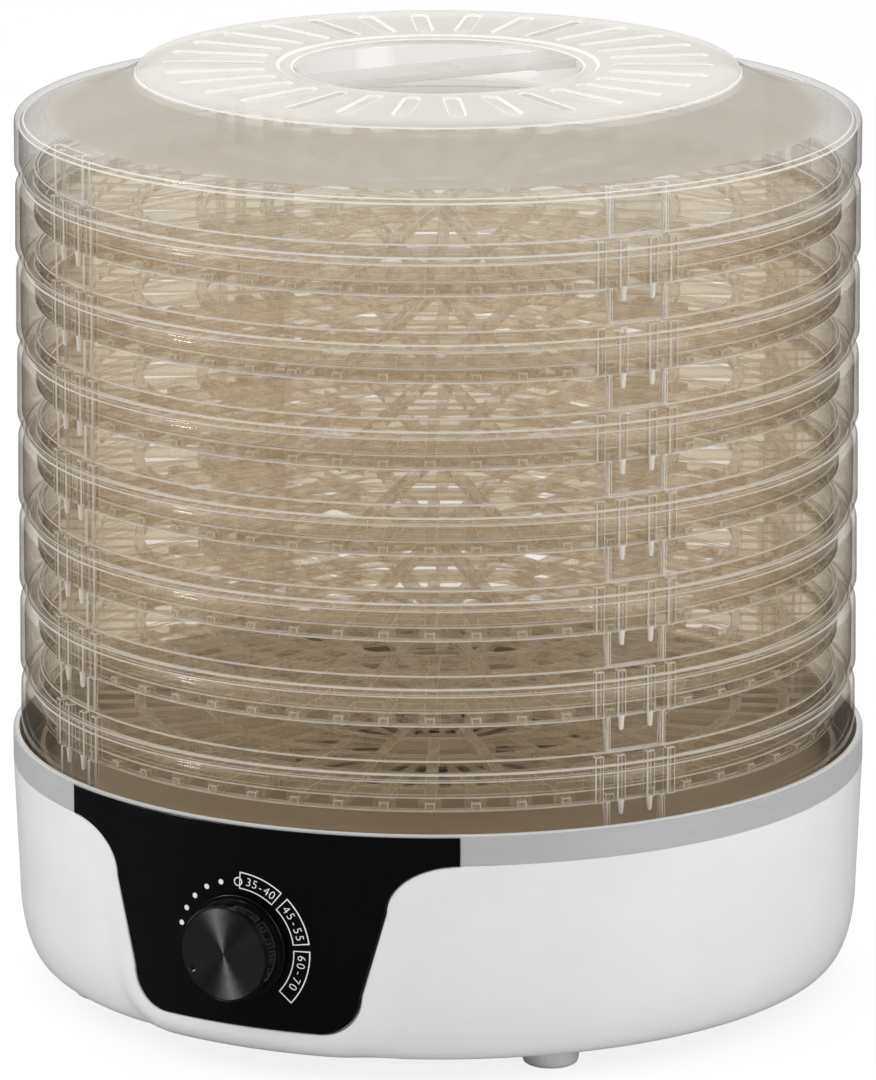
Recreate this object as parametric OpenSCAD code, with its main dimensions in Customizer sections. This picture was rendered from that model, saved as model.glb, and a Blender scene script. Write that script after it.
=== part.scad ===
// Round electric food dehydrator: a base with fan, heater and thermostat dial,
// seven clear stacking trays and a clear lid with a vent ring and a finger grip.
// Origin: on the vertical axis, in the plane the feet stand on. +Z up, dial towards -Y.

/* [Stack] */
// Outer radius of the trays and of the lid
tray_r = 157; // [156:0.5:157]
// Wall thickness of the clear mouldings
wall = 1.8; // [1.6:0.1:2]
// Height from a tray's underside to the top of its lip
lip_h = 19; // [18:0.5:19]
// Length of the spacer tabs that hang below a tray
tab_h = 12.4; // [12:0.2:14]
// Number of radial ribs in a tray's outer grille
ribs = 56; // [40:4:56]
// Width of the grille's bars
bar_w = 4.2; // [3:0.2:4.6]
// Angle of the first spacer post, from the dial's direction
post_angle = 55; // [50:1:60]

/* [Lid] */
// Outer radius of the flat vent ring on top
vent_r = 112; // [108:1:114]
// Radius of the finger well
well_r = 53.5; // [50:0.5:55]
// Depth of the finger well
well_depth = 14; // [12:1:15]
// Radial features in the vent ring: one in five is a slot right through
vent_count = 30; // [30]

/* [Base] */
// Outer radius at the trim ring
base_r = 160; // [160:0.5:162]
// Height of the base's top edge
base_top = 95; // [94:0.5:96]
// Height of the trim ring
ring_h = 10.5; // [9:0.5:11]
// Height of the feet
foot_h = 8; // [7:0.5:9]
// Half angle covered by the top strip of the control panel
panel_half = 29.7; // [28:0.1:31]

/* [Dial] */
// Knob diameter
knob_d = 36; // [32:1:38]
// How far the knob's face stands in front of the panel
knob_h = 11; // [9:0.5:12]
// Height of the knob's axis
knob_z = 49; // [47:1:52]

/* [Works] */
// Fan diameter
fan_d = 120; // [100:2:122]
// Number of fan blades
blades = 5; // [4:1:6]

/* [Hidden] */
$fn = 96;
eps = 0.01;

gap = 0.2;                       // play between a spacer tab and the lip it stands on
pitch = lip_h + tab_h + gap;     // height that one tray adds to the stack
trays = 7;
deck_lip = 88.6;                 // top of the deck's lip, which carries the lowest tray
ring_z = base_top - 0.5 - ring_h;
lip_r = 149.8;                   // outside of a tray's lip
skirt_out = tray_r;
skirt_in = tray_r - wall;
skirt_foot = tray_r - 2.4;       // outside radius at the skirt's bottom edge
band_h = 5.6;                    // height of the floor's rim
grille_h = 4;                    // height of the floor's bars
tab_w = 24;                      // width of a spacer tab
lid_base = deck_lip + gap + tab_h + trays * pitch;   // where an eighth tray's floor would be
lid_top = lid_base + 24.2;
rim_z = lid_base + 6.6;          // top of the lid's ledge
under_z = foot_h;                // underside of the base
corner_z = 36;                   // where the wall starts to turn under
wall_r = 158;                    // outside radius there
under_r = 148.5;                 // outside radius where the underside becomes flat
shell = 2.2;                     // wall thickness of the base
deck_z = 80.5;                   // top face of the deck plate
duct_r = 64;                     // inside radius of the air duct
panel_r = base_r + 0.6;          // front face of the control panel, at its middle
panel_t = 1.6;                   // depth of the pocket it lies in
motor_z = 22;                    // underside of the motor's core
motor_h = 16;
fan_z = 50;                      // underside of the fan's hub
shaft_r = 3;                     // fan spindle radius
stem_r = 3;                      // thermostat shaft radius
off_angle = 208;                 // direction of the pointer when the dial is off
cover_r = 116;
cover_t = 2.2;
inlet_z = 30;

function band_z(i) = deck_lip + gap + tab_h + (trays - i) * pitch;
function polar(r, a) = [r * cos(a), r * sin(a)];

// ---------------------------------------------------------------- shared shapes

// A ring of rectangular section
module hoop(r_in, r_out, z, h) {
  translate([0, 0, z]) difference() {
    cylinder(r = r_out, h = h);
    translate([0, 0, -1]) cylinder(r = r_in, h = h + 2);
  }
}

// One straight-sided opening of a round grille, between two radii and two angles
module opening(r0, r1, half, w, h) {
  p0 = half - w / 2 / r0 * 180 / PI;
  p1 = half - w / 2 / r1 * 180 / PI;
  linear_extrude(h) polygon([polar(r0, -p0), polar(r1, -p1), polar(r1, p1), polar(r0, p0)]);
}

// A ring of such openings
module openings(r0, r1, n, w, h) {
  for (i = [0 : n - 1]) rotate([0, 0, (i + 0.5) * 360 / n]) opening(r0, r1, 180 / n, w, h);
}

// A bar that points outwards from the axis
module spoke(r0, r1, w, z, h) {
  translate([r0, -w / 2, z]) cube([r1 - r0, w, h]);
}

// Places its children at the four posts
module at_posts() {
  for (k = [0 : 3]) rotate([0, 0, -90 + post_angle + 90 * k]) children();
}

// A screw with a domed head, head downwards, its underside at z = 0
module screw(r, head_r, length) {
  intersection() {
    translate([0, 0, -1.6]) cylinder(r = head_r, h = 1.6, $fn = 32);
    translate([0, 0, 2.6]) sphere(r = head_r + 1.2, $fn = 48);
  }
  translate([0, 0, -eps]) cylinder(r = r, h = length + eps, $fn = 24);
}

// ---------------------------------------------------------------- trays and lid

// Spacer tab: a curved plate with two side fins, narrower at its foot
module spacer_tab(length, top) {
  reach = tab_w / 2 / lip_r * 180 / PI - 1;
  intersection() {
    union() {
      hoop(lip_r - wall + 0.1, lip_r - 0.1, -length, length + top);
      for (s = [-1, 1]) rotate([0, 0, s * reach])
        spoke(lip_r - 1, skirt_foot - wall - 0.4, 1.6, -length - 1, length + top + 1);
    }
    rotate([90, 0, 90]) translate([0, 0, 120]) linear_extrude(36)
      polygon([[-tab_w / 2, top], [tab_w / 2, top],
               [tab_w / 2 - 1.2, -length], [1.2 - tab_w / 2, -length]]);
  }
}

// Locating pegs that hang beside a tab, with rounded tips
module pegs(length) {
  for (s = [-1, 1]) rotate([0, 0, s * 2.25]) translate([lip_r + 1.4, 0, -length])
    rotate_extrude($fn = 24)
      polygon([[0, 0], [0.45, 0.1], [0.8, 0.5], [1.2, length], [1.2, length + 1], [0, length + 1]]);
}

// Ribs that carry the load from the lip down to the floor, on a thicker foot
module post_ribs() {
  for (a = [-5.6, -2.3, 2.3, 5.6]) rotate([0, 0, a])
    spoke(lip_r - 0.6, 152.2, 3.4, 0.6, lip_h - 1.4);
  intersection() {
    hoop(lip_r - 0.3, 152.5, 0.3, 2.6);
    translate([120, -18, -1]) cube([60, 36, 6]);
  }
}

// Closed outline of a tray's wall: lip, shoulder and overlapping skirt
function tray_outline() = concat(
  [[lip_r - wall, 0], [lip_r, 0], [lip_r, 12.2], [skirt_in - 2.2, 12.2], [skirt_in - 0.6, 10.6],
   [skirt_in, 8.6], [skirt_in, -10.4], [skirt_foot - wall + 0.2, -16.4],
   [skirt_foot - wall + 0.4, -16.9], [skirt_foot, -16.9], [skirt_out, -10.9], [skirt_out - 0.2, 8.4]],
  [for (a = [12 : 13 : 90]) [skirt_out - 3.4 + 3.2 * cos(a), 10.6 + 3.4 * sin(a)]],
  [[lip_r, 14], [lip_r, lip_h - 0.5], [lip_r - 0.5, lip_h], [lip_r - wall, lip_h]]);

module tray_grille() {
  difference() {
    translate([0, 0, 0.6]) cylinder(r = lip_r - 1, h = grille_h);
    translate([0, 0, -1]) {
      openings(132, 146.4, ribs, bar_w, 8);
      openings(114, 128.4, ribs, bar_w, 8);
      openings(90, 110.4, ribs / 2, bar_w, 8);
      openings(66, 86.4, ribs / 2, bar_w, 8);
      openings(40, 62.4, ribs / 4, bar_w, 8);
      openings(14, 36.4, ribs / 4, bar_w, 8);
    }
  }
  hoop(145.6, lip_r, 0, band_h);
}

module tray(i) {
  color([0.86, 0.76, 0.66, 0.45]) translate([0, 0, band_z(i)]) {
    rotate_extrude() polygon(tray_outline());
    tray_grille();
    at_posts() {
      spacer_tab(tab_h, 1);
      translate([0, 0, 0.3]) pegs(4.8);
      post_ribs();
    }
  }
}

// Closed outline of the lid, from the skirt's foot up to the well's rim and back inside
function lid_outline() = let (z = lid_base, c = 33, v = vent_r, t = lid_top) concat(
  [[skirt_foot - wall + 0.4, z - 16.9], [skirt_foot, z - 16.9], [skirt_out, z - 10.9],
   [skirt_out, z + 4]],
  [for (a = [10 : 16 : 90]) [skirt_out - 2.6 + 2.6 * cos(a), z + 4 + 2.6 * sin(a)]],
  [[146, rim_z]],
  [for (k = [1 : 9]) let (u = k / 10)
    [146 - c * u, rim_z + (t - 3 - rim_z) * u - 1.6 * sin(180 * u)]],
  [for (a = [0 : 18 : 90]) [v - 2.4 + 2.4 * cos(a), t - 2.4 + 2.4 * sin(a)]],
  [[well_r + 6, t], [well_r + 5.6, t - 0.7], [well_r + 0.6, t - 0.7], [well_r, t - 1.3],
   [well_r - 1, t - well_depth + 2], [well_r - 3, t - well_depth],
   [0, t - well_depth], [0, t - well_depth - wall],
   [well_r - 2.6, t - well_depth - wall], [well_r + 0.8, t - well_depth + 1.6],
   [well_r + 1.8, t - 2.6], [v - 4.4, t - 2.4]],
  [for (k = [9 : -1 : 1]) let (u = k / 10)
    [145.4 - c * u, rim_z - wall + (t - 3 - rim_z) * u - 1.6 * sin(180 * u)]],
  [[146, rim_z - wall], [skirt_in - 1.6, rim_z - wall], [skirt_in, rim_z - wall - 1.6],
   [skirt_in, z - 10.4], [skirt_foot - wall + 0.2, z - 16.4]]);

// A long rounded bar lying outwards: the plan shape of a vent feature
module vent_bar(w, h) {
  r0 = 65;
  r1 = 101.5;
  translate([r0 + w / 2, 0, 0]) cylinder(r = w / 2, h = h, $fn = 24);
  translate([r1 - w / 2, 0, 0]) cylinder(r = w / 2, h = h, $fn = 24);
  translate([r0 + w / 2, -w * 0.49, 0]) cube([r1 - r0 - w, w * 0.98, h]);
}

module lid() {
  color([0.93, 0.93, 0.91, 0.5]) {
    difference() {
      rotate_extrude() polygon(lid_outline());
      for (i = [0 : vent_count - 1])
        rotate([0, 0, post_angle - 30 + i * 360 / vent_count])
          if (i % 5 == 0) translate([0, 0, lid_top - 6]) vent_bar(4.4, 8);
          else translate([0, 0, lid_top - 0.8]) vent_bar(6, 2);
      // seats for the ends of the grip bar
      rotate([0, 0, post_angle]) translate([-well_r - 0.6, -10.2, lid_top - 4.6])
        cube([2 * well_r + 1.2, 20.4, 3.4]);
    }
    translate([0, 0, lid_base]) at_posts() {
      spacer_tab(tab_h, 6);
      translate([0, 0, 5]) pegs(9);
    }
  }
}

module lid_handle() {
  color([0.9, 0.9, 0.88, 0.6]) rotate([0, 0, post_angle]) difference() {
    intersection() {
      translate([-well_r - 1, -10, lid_top - 4.5]) cube([2 * well_r + 2, 20, 3.2]);
      translate([0, 0, lid_top - 9]) cylinder(r = well_r + 0.4, h = 9);
    }
    translate([0, 0, lid_top - 2]) cylinder(r = 8, h = 3);
    // two recesses under the bar for the fingertips
    for (s = [-1, 1]) translate([-36, s * 10 - 3, lid_top - 5]) cube([72, 6, 1.6]);
  }
}

// ---------------------------------------------------------------- base

// Outline of the control panel: a strip at ring height, a concave flare each side, then a lobe
strip_x = base_r * sin(panel_half);
lobe_z = 19.2;       // lowest edge of the lobe
corner_r = 15;       // radius of the lobe's lower corners
corner_x = 31;       // centre of those corners
flare_z = 66;        // where the flare starts
flare_w = 24.4;      // width of the flare

// One side of the outline, grown by g: lower corner, flare, end of the strip
function half_outline(g) = concat(
  [for (a = [-90 : 10 : 0])
    [corner_x + (corner_r + g) * cos(a), lobe_z + corner_r + (corner_r + g) * sin(a)]],
  [for (a = [0 : 7.5 : 90])
    [strip_x - (flare_w - g) * cos(a), flare_z + (ring_z - flare_z - g) * sin(a)]],
  [[strip_x + g, ring_z - g], [strip_x + g, base_top + 4]]);

function full_outline(g) = let (h = half_outline(g), n = len(h)) concat(
  h, [for (i = [n - 1 : -1 : 0]) [-h[i][0], h[i][1]]]);

// The panel's outline as a block that reaches from the axis out through the front
module panel_block(g) {
  rotate([90, 0, 0]) translate([0, 0, 100]) linear_extrude(70) polygon(full_outline(g));
}

// Outside profile of the housing, from the seat of the trim ring down and under
function housing_outside() = concat(
  [[base_r - 0.9, base_top + 0.3], [base_r - 0.9, ring_z], [base_r, ring_z], [base_r - 0.1, ring_z - 4]],
  [for (a = [0 : 10 : 90]) [under_r + (wall_r - under_r) * cos(a),
    corner_z - (corner_z - under_z) * sin(a)]],
  [[cover_r - 3, under_z]]);

function housing_inside() = concat(
  [[cover_r - 3, under_z + shell]],
  [for (a = [90 : -15 : 0]) [under_r - shell + (wall_r - under_r) * cos(a),
    corner_z - (corner_z - under_z - shell) * sin(a)]],
  [[base_r - 2.6, ring_z - 12], [base_r - 5.6, ring_z - 9], [base_r - 5.6, deck_z - 2.6],
   [base_r - 2.3, deck_z - 2.6], [base_r - 2.3, base_top + 0.3]]);

module base_housing() {
  color([0.93, 0.93, 0.92]) difference() {
    union() {
      rotate_extrude() polygon(concat(housing_outside(), housing_inside()));
      // raised surround of the control panel
      intersection() {
        difference() {
          translate([0, 0, under_z + 1.2]) cylinder(r = base_r - 0.3, h = ring_z - under_z - 1.2);
          translate([0, 0, under_z]) cylinder(r = wall_r - 4.4, h = 60);
          translate([0, 0, under_z + 59]) cylinder(r = base_r - 5.6, h = 40);
          translate([0, 0, deck_z - 2.6]) cylinder(r = base_r - 2.3, h = 20);
        }
        panel_block(3.6);
      }
    }
    // pocket that the panel lies in
    intersection() {
      hoop(base_r - panel_t, base_r + 6, 0, ring_z);
      panel_block(0.15);
    }
    // clearance for the thermostat's neck
    translate([0, 0, knob_z]) rotate([90, 0, 0]) cylinder(r = 5.6, h = 170);
    // seat of the bottom cover
    translate([0, 0, under_z - 1]) cylinder(r = cover_r + 0.4, h = 1 + cover_t);
    // hole for the cord inlet
    translate([0, 0, inlet_z]) rotate([-90, 0, 0]) cylinder(r = 6.2, h = 170);
  }
}

module trim_ring() {
  color([0.72, 0.72, 0.73]) difference() {
    hoop(base_r - 0.85, base_r, ring_z + 0.05, ring_h);
    panel_block(0.15);
  }
}

module control_panel() {
  color([0.05, 0.05, 0.055]) difference() {
    intersection() {
      union() {
        hoop(base_r - panel_t + 0.1, panel_r, 1, ring_z - 1.05);
        hoop(base_r - 0.85, panel_r, ring_z - 0.1, ring_h + 0.15);
      }
      panel_block(0);
    }
    translate([0, 0, knob_z]) rotate([90, 0, 0]) cylinder(r = 5.4, h = 170);
  }
}

module top_deck() {
  slots = 24;
  color([0.9, 0.9, 0.88]) difference() {
    union() {
      // plate with a raised centre, a lip for the lowest tray and a turned-down edge
      rotate_extrude() polygon([[0, deck_z + 3.6], [60, deck_z + 3.6], [70, deck_z],
        [base_r - 12, deck_z], [base_r - 12, deck_lip], [base_r - 10.2, deck_lip],
        [base_r - 10.2, deck_z], [base_r - 2.5, deck_z], [base_r - 2.5, deck_z - 2.4],
        [69.4, deck_z - 2.4], [59.6, deck_z + 1.2], [0, deck_z + 1.2]]);
      // bosses for the duct's screws, sunk into the raised centre
      for (k = [0 : 2]) rotate([0, 0, 120 * k])
        translate([duct_r + 5.4, 0, deck_z - 2.4]) cylinder(r = 4, h = 6, $fn = 32);
      // screw bosses under the plate
      for (k = [0 : 3]) rotate([0, 0, 45 + 90 * k])
        translate([108, 0, 62]) cylinder(r = 5, h = deck_z - 63, $fn = 32);
    }
    for (i = [0 : slots - 1]) rotate([0, 0, i * 360 / slots])
      translate([22, -2, deck_z]) cube([34, 4, 6]);
    for (k = [0 : 3]) rotate([0, 0, 45 + 90 * k])
      translate([108, 0, 61]) cylinder(r = 1.6, h = 14, $fn = 24);
    for (k = [0 : 2]) rotate([0, 0, 120 * k])
      translate([duct_r + 5.4, 0, deck_z - 3]) cylinder(r = 1.5, h = 6, $fn = 24);
  }
}

module bottom_cover() {
  color([0.88, 0.88, 0.87]) difference() {
    union() {
      translate([0, 0, under_z]) cylinder(r = cover_r, h = cover_t - 0.1);
      // pillars that the deck is screwed to
      for (k = [0 : 3]) rotate([0, 0, 45 + 90 * k])
        translate([108, 0, under_z]) cylinder(r = 6, h = 53.8, $fn = 32);
    }
    // intake slots in two rings
    for (i = [0 : 23]) rotate([0, 0, i * 15]) {
      translate([30, -1.6, under_z - 1]) cube([22, 3.2, 6]);
      translate([60, -2.2, under_z - 1]) cube([22, 4.4, 6]);
    }
    for (k = [0 : 3]) rotate([0, 0, 45 + 90 * k])
      translate([108, 0, under_z - 1]) {
        cylinder(r = 1.8, h = 60, $fn = 24);
        cylinder(r = 4, h = 46, $fn = 32);
      }
  }
}

module feet() {
  color([0.9, 0.9, 0.89]) for (k = [0 : 3]) rotate([0, 0, 45 + 90 * k])
    translate([132, 0, 0]) rotate_extrude($fn = 48)
      polygon([[0, 0], [9, 0], [9.8, 0.5], [10.2, 1.4], [11, under_z], [0, under_z]]);
}

// ---------------------------------------------------------------- dial

module knob() {
  half = knob_d / 2;
  color([0.06, 0.06, 0.065]) translate([0, 0, knob_z]) rotate([90, 0, 0]) difference() {
    // flange, plain side and a rim that frames the insert
    translate([0, 0, panel_r + 0.5]) rotate_extrude() polygon([[0, 0], [half + 1.8, 0],
      [half + 1.8, 1.2], [half, 2], [half, knob_h - 1.2], [half - 0.5, knob_h - 0.5],
      [half - 0.9, knob_h - 0.5], [half - 0.9, knob_h - 1.5], [0, knob_h - 1.5]]);
    // bore for the thermostat shaft
    translate([0, 0, panel_r]) cylinder(r = stem_r + 0.05, h = 7);
  }
}

module knob_insert() {
  color([0.12, 0.12, 0.125]) translate([0, 0, knob_z]) rotate([90, 0, 0])
    translate([0, 0, panel_r + knob_h - 1]) difference() {
      cylinder(r = knob_d / 2 - 1, h = 0.9);
      // dimple that serves as the pointer
      rotate([0, 0, off_angle]) translate([knob_d / 2 - 3.6, 0, 2.3]) sphere(r = 2, $fn = 48);
    }
}

module thermostat() {
  color([0.82, 0.8, 0.74]) translate([0, 0, knob_z]) rotate([90, 0, 0]) {
    difference() {
      union() {
        translate([-13, -16, 126]) cube([26, 32, 16]);
        translate([0, 0, 142 - eps]) cylinder(r = 9, h = 6);
        translate([0, 0, 147]) cylinder(r = 4.6, h = panel_r - 147 - 0.4);
      }
      translate([0, 0, 140]) cylinder(r = stem_r + 0.05, h = 30);
    }
    // two blade terminals at the back
    for (s = [-1, 1]) translate([s * 7 - 3, -0.4, 118]) cube([6, 0.8, 9]);
  }
}

module thermostat_shaft() {
  color([0.78, 0.78, 0.8]) translate([0, 0, knob_z]) rotate([90, 0, 0])
    translate([0, 0, 140.2]) cylinder(r = stem_r, h = panel_r + 6.6 - 140.2);
}

module thermostat_nut() {
  color([0.75, 0.72, 0.6]) translate([0, 0, knob_z]) rotate([90, 0, 0]) difference() {
    translate([0, 0, 148.2]) cylinder(r = 7.6, h = 3, $fn = 6);
    translate([0, 0, 146]) cylinder(r = 4.62, h = 8);
  }
}

// ---------------------------------------------------------------- works

module air_duct() {
  color([0.75, 0.76, 0.78]) difference() {
    union() {
      hoop(duct_r, duct_r + 0.8, 38, deck_z - 2.6 - 38);
      hoop(duct_r, duct_r + 9, deck_z - 3.6, 1);
    }
    for (k = [0 : 2]) rotate([0, 0, 120 * k]) {
      // notch for a motor arm, hole for a screw
      translate([duct_r - 3, -4.2, 37]) cube([8, 8.4, 3]);
      translate([duct_r + 5.4, 0, deck_z - 6]) cylinder(r = 1.6, h = 4, $fn = 24);
    }
    // slots for the ends of the heater's boards
    for (a = [0 : 90 : 270]) rotate([0, 0, a + 45])
      translate([duct_r - 3, -0.6, 62.9]) cube([12, 1.2, 20]);
  }
}

module heater_frame() {
  color([0.86, 0.82, 0.72]) {
    difference() {
      union() {
        for (a = [45, 135]) rotate([0, 0, a])
          translate([-duct_r - 0.6, -0.5, 63]) cube([2 * duct_r + 1.2, 1, 12]);
        hoop(6, 8, 63, 12);
      }
      for (r = [20, 32, 44, 56], a = [45 : 90 : 315]) rotate([0, 0, a])
        translate([r, 0, 69]) rotate([90, 0, 0]) cylinder(r = 1.3, h = 4, center = true, $fn = 24);
      translate([0, 0, 60]) cylinder(r = 6, h = 20);
    }
  }
}

module heater_coil() {
  color([0.6, 0.58, 0.56]) for (r = [20, 32, 44, 56])
    translate([0, 0, 69]) rotate_extrude() translate([r, 0]) circle(r = 1.2, $fn = 24);
}

module thermal_cutout() {
  color([0.2, 0.2, 0.22]) translate([0, duct_r + 1, 56]) rotate([-90, 0, 0]) {
    cylinder(r = 8, h = 5, $fn = 48);
    for (s = [-1, 1]) translate([s * 5 - 2, -0.4, 4]) cube([4, 0.8, 7]);
  }
}

module blade(r) {
  // a flat blade set at an angle, trimmed to the fan's circle
  intersection() {
    rotate([32, 0, 0]) translate([10, -15, -0.7]) cube([r, 30, 1.4]);
    translate([0, 0, -9]) cylinder(r = r, h = 18);
  }
}

module fan_impeller() {
  color([0.3, 0.31, 0.33]) translate([0, 0, fan_z]) difference() {
    union() {
      cylinder(r = 13, h = 9);
      translate([0, 0, 4.5]) for (i = [0 : blades - 1]) rotate([0, 0, i * 360 / blades])
        intersection() {
          blade(fan_d / 2);
          translate([0, 0, -4.4]) cylinder(r = 80, h = 8.8);
        }
    }
    translate([0, 0, -1]) cylinder(r = shaft_r, h = 8);
  }
}

module fan_spindle() {
  color([0.7, 0.71, 0.73]) translate([0, 0, motor_z - 5]) cylinder(r = shaft_r, h = fan_z + 7 - motor_z + 5);
}

module motor_core() {
  color([0.45, 0.45, 0.47]) difference() {
    translate([-30, -24, motor_z]) cube([60, 48, motor_h]);
    translate([0, 0, motor_z - 1]) cylinder(r = 14, h = motor_h + 2);
    translate([-22, -16.6, motor_z - 1]) cube([9, 33.2, motor_h + 2]);
    for (s = [-1, 1]) translate([24, s * 18, motor_z - 1]) cylinder(r = 2.2, h = motor_h + 2, $fn = 24);
  }
}

module motor_coil() {
  color([0.72, 0.4, 0.2]) difference() {
    translate([-39, -16, motor_z - 5]) cube([24.6, 32, motor_h + 10]);
    translate([-30.2, -17, motor_z - 0.2]) cube([8.4, 34, motor_h + 0.4]);
  }
}

module motor_frame() {
  color([0.7, 0.71, 0.72]) difference() {
    union() {
      // bearing bridges below and above the core
      for (z = [motor_z - 5, motor_z + motor_h])
        translate([0, 0, z]) {
          translate([-12, -28, 0]) cube([42, 56, 1.2]);
          cylinder(r = 9, h = 5);
        }
      // three arms that hold the motor in the notches of the air duct
      for (k = [0 : 2]) rotate([0, 0, 120 * k])
        translate([12, -4, motor_z + motor_h]) cube([duct_r - 9, 8, 1.6]);
    }
    translate([0, 0, motor_z - 8]) cylinder(r = shaft_r + 0.05, h = 50);
    for (s = [-1, 1]) translate([24, s * 18, motor_z - 8]) cylinder(r = 2.2, h = 40, $fn = 24);
  }
}

module terminal_block() {
  color([0.85, 0.85, 0.8]) translate([-16, 122, 12.4]) difference() {
    cube([32, 12, 12]);
    for (i = [0 : 2]) translate([5.5 + i * 10.5, -1, 6])
      rotate([-90, 0, 0]) cylinder(r = 2, h = 20, $fn = 24);
  }
}

module cord_inlet() {
  color([0.15, 0.15, 0.16]) translate([0, 0, inlet_z]) rotate([-90, 0, 0]) difference() {
    union() {
      translate([0, 0, 150]) cylinder(r = 6, h = 18);
      translate([0, 0, 158.6]) cylinder(r = 8.4, h = 3.4);
      translate([0, 0, 150]) cylinder(r = 8, h = 3.4);
    }
    translate([0, 0, 148]) cylinder(r = 3.6, h = 22);
  }
}

// A wire: a closed tube of eight sides swept along a list of points
function unit(v) = v / norm(v);
function heading(p, i) = let (n = len(p) - 1)
  i == 0 ? unit(p[1] - p[0]) : i == n ? unit(p[n] - p[n - 1])
         : unit(unit(p[i] - p[i - 1]) + unit(p[i + 1] - p[i]));
function side_of(h) = unit(cross(h, abs(h[2]) > 0.9 ? [1, 0, 0] : [0, 0, 1]));
module wire(p, r) {
  sides = 8;
  n = len(p);
  rings = [for (i = [0 : n - 1]) let (h = heading(p, i), u = side_of(h), v = cross(h, u))
    for (k = [0 : sides - 1]) p[i] + r * (cos(45 * k) * u + sin(45 * k) * v)];
  walls = [for (i = [0 : n - 2], k = [0 : sides - 1]) let (a = i * sides + k,
    b = i * sides + (k + 1) % sides) [a, a + sides, b + sides, b]];
  polyhedron(rings, concat(walls, [[for (k = [0 : sides - 1]) k]],
    [[for (k = [sides - 1 : -1 : 0]) (n - 1) * sides + k]]));
}

module wiring() {
  color([0.3, 0.35, 0.6]) {
    for (s = [-1, 1])
      wire([[10.5 * s, 121.6, 18.4], [12 * s, 116, 18], [40 * s, 100, 16], [88 * s, 40, 16],
            [90 * s, -20, 16], [56 * s, -90, 20], [12 * s, -112, 40], [7 * s, -113, 47],
            [7 * s, -117, knob_z]], 1.2);
    wire([[0, 121.6, 18.4], [0, 112, 20], [-2, 96, 32], [-5, 84, 50], [-5, 78, 56]], 1.2);
  }
}

module cover_screws() {
  color([0.7, 0.7, 0.72]) for (k = [0 : 3]) rotate([0, 0, 45 + 90 * k])
    translate([108, 0, under_z + 45]) screw(1.5, 3.2, 18);
}

module deck_screws() {
  color([0.7, 0.7, 0.72]) for (k = [0 : 2]) rotate([0, 0, 120 * k])
    translate([duct_r + 5.4, 0, deck_z - 3.6]) screw(1.4, 2.8, 6.4);
}

module motor_screws() {
  color([0.7, 0.7, 0.72]) for (s = [-1, 1])
    translate([24, s * 18, motor_z - 5]) screw(2.1, 3.6, motor_h + 9);
}

base_housing();
top_deck();
bottom_cover();
trim_ring();
control_panel();
knob();
knob_insert();
thermostat();
thermostat_shaft();
thermostat_nut();
air_duct();
heater_frame();
heater_coil();
thermal_cutout();
fan_impeller();
fan_spindle();
motor_core();
motor_coil();
motor_frame();
terminal_block();
cord_inlet();
wiring();
feet();
cover_screws();
deck_screws();
motor_screws();
tray(1);  // tray_1
tray(2);  // tray_2
tray(3);  // tray_3
tray(4);  // tray_4
tray(5);  // tray_5
tray(6);  // tray_6
tray(7);  // tray_7
lid();
lid_handle();
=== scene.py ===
"""Looks of the round food dehydrator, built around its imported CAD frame.

Everything is in metres in the frame's own axes: +Z up, the dial faces -Y.
"""

import math

import bmesh
import bpy
from mathutils import Matrix, Vector, geometry


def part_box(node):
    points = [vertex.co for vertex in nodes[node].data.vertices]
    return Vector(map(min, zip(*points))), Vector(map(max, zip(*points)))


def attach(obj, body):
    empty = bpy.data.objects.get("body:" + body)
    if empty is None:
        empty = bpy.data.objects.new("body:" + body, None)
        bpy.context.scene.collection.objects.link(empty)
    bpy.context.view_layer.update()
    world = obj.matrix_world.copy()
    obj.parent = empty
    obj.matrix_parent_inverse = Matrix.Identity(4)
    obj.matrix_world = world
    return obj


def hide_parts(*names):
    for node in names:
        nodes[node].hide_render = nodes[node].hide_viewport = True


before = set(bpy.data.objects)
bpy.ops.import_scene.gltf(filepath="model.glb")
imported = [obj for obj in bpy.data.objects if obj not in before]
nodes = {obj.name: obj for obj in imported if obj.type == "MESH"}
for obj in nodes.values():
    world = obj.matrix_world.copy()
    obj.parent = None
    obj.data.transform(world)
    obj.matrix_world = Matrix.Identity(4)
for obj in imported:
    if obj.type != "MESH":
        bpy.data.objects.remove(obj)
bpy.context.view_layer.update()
scene = bpy.context.scene

MM = 0.001                      # a millimetre in metres
TRAYS = [f"tray_{i}" for i in range(1, 8)]


# ------------------------------------------------------------------ materials


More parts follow.
